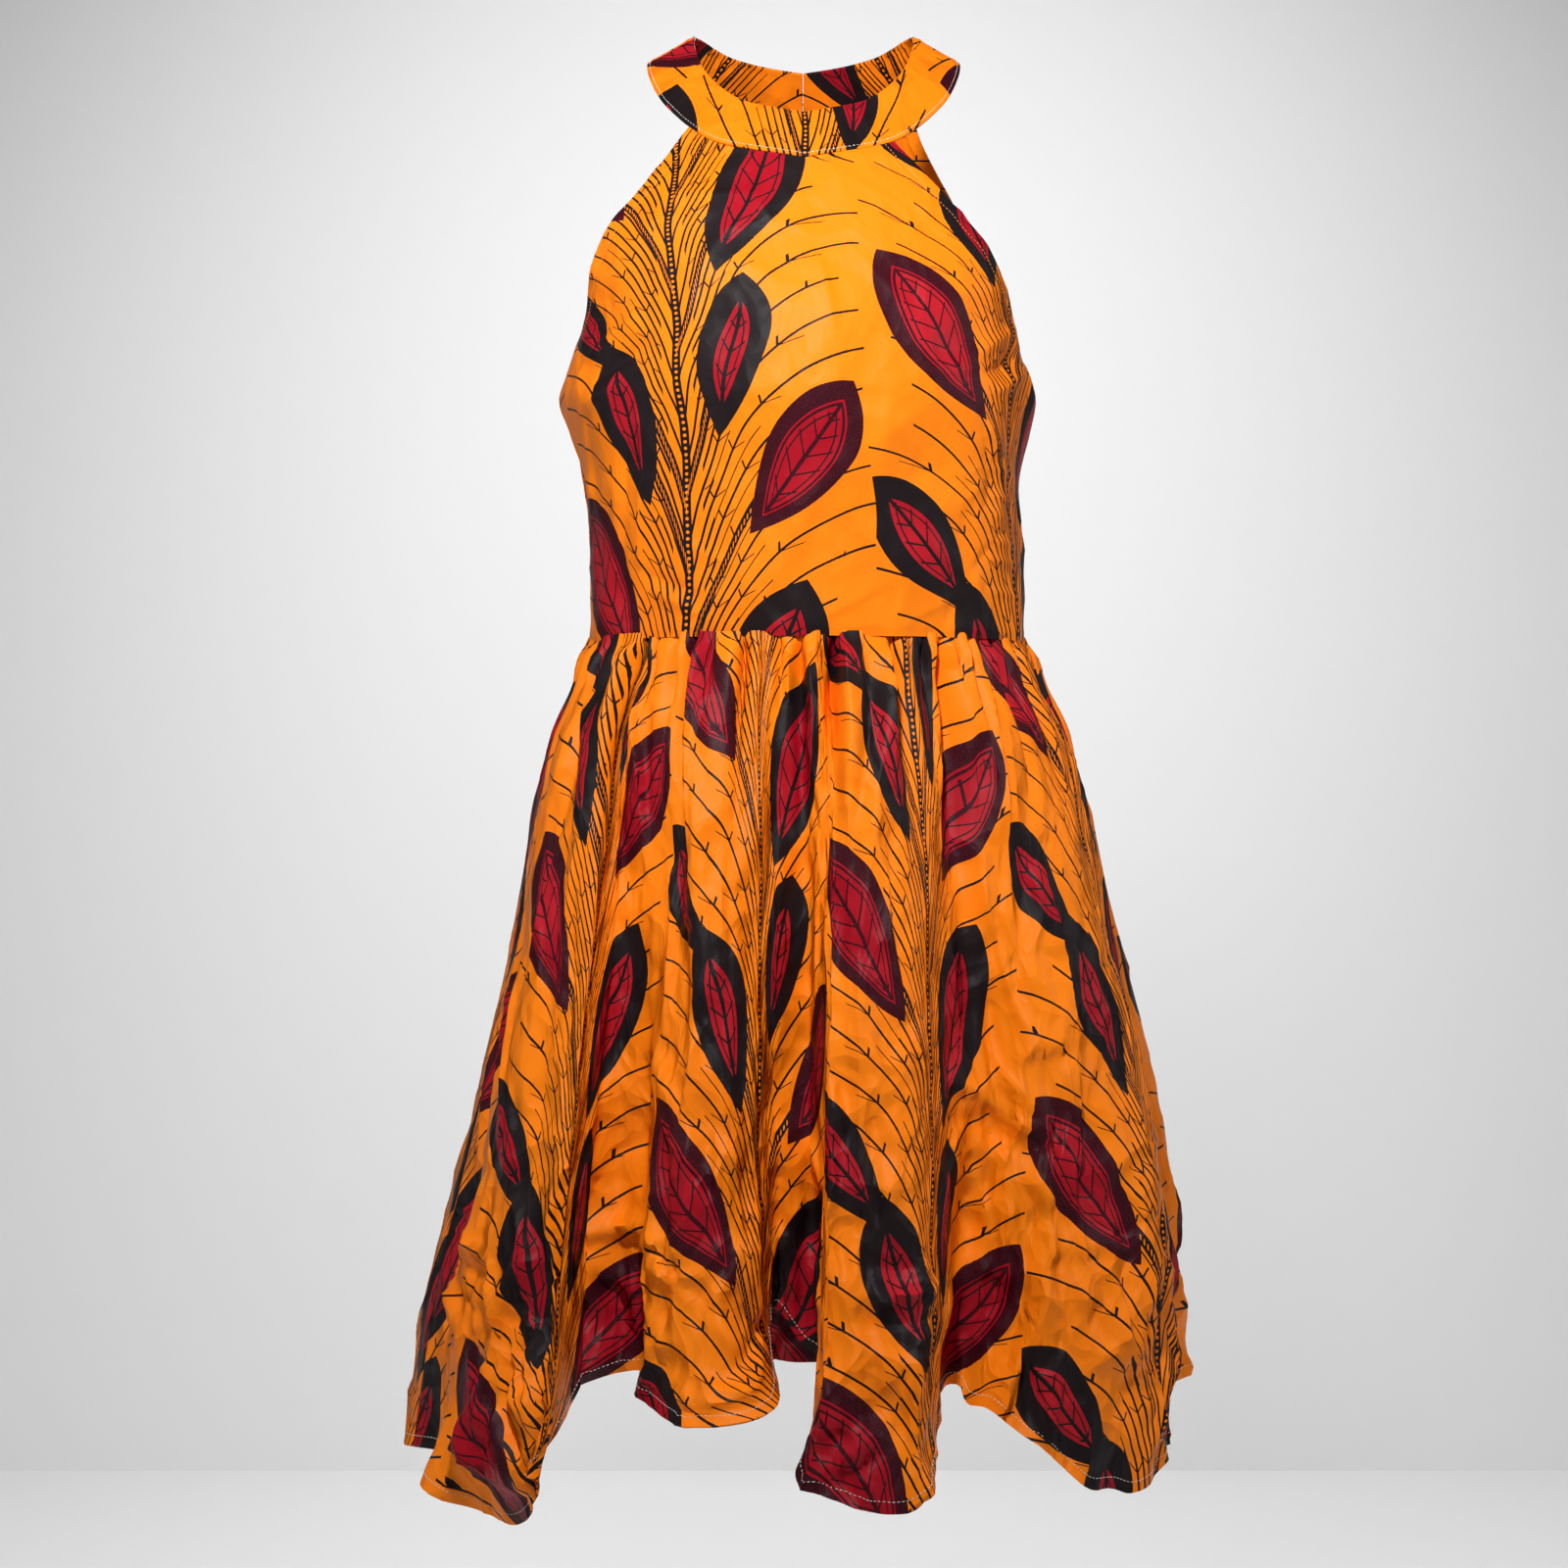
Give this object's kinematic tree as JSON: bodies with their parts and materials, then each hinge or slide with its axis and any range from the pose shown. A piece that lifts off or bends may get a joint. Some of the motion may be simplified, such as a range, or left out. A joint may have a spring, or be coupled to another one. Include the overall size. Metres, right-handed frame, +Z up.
{
  "type": "ankara wax print dress",
  "caption": "Sleeveless halter dress in wax print cotton with a round collar band, a loose bodice, a waist seam and a full gathered skirt to the knee, held open as when worn.",
  "frame": {"origin": "middle of the neck hole at shoulder height, where the wearer's neck and shoulders hold the collar", "axes": "+Z up along the body, -Y to the front of the dress, +X to the wearer's left"},
  "size_m": [0.5739, 0.467, 1.0191],
  "materials": {
    "collar_front": "printed wax cotton with a slight sheen",
    "collar_back_left": "printed wax cotton with a slight sheen",
    "collar_back_right": "printed wax cotton with a slight sheen",
    "bodice_front": "printed wax cotton with a slight sheen",
    "bodice_back_left": "printed wax cotton with a slight sheen",
    "bodice_back_right": "printed wax cotton with a slight sheen",
    "skirt_front": "printed wax cotton with a slight sheen",
    "skirt_back": "printed wax cotton with a slight sheen",
    "nape_button": "satin",
    "nape_loop": "printed wax cotton with a slight sheen"
  },
  "bodies": {
    "root": {"collar_front": "collar_front", "collar_back_left": "collar_back_left", "collar_back_right": "collar_back_right", "bodice_front": "bodice_front", "bodice_back_left": "bodice_back_left", "bodice_back_right": "bodice_back_right", "skirt_front": "skirt_front", "skirt_back": "skirt_back", "nape_button": "nape_button", "nape_loop": "nape_loop"}
  },
  "joints": []
}
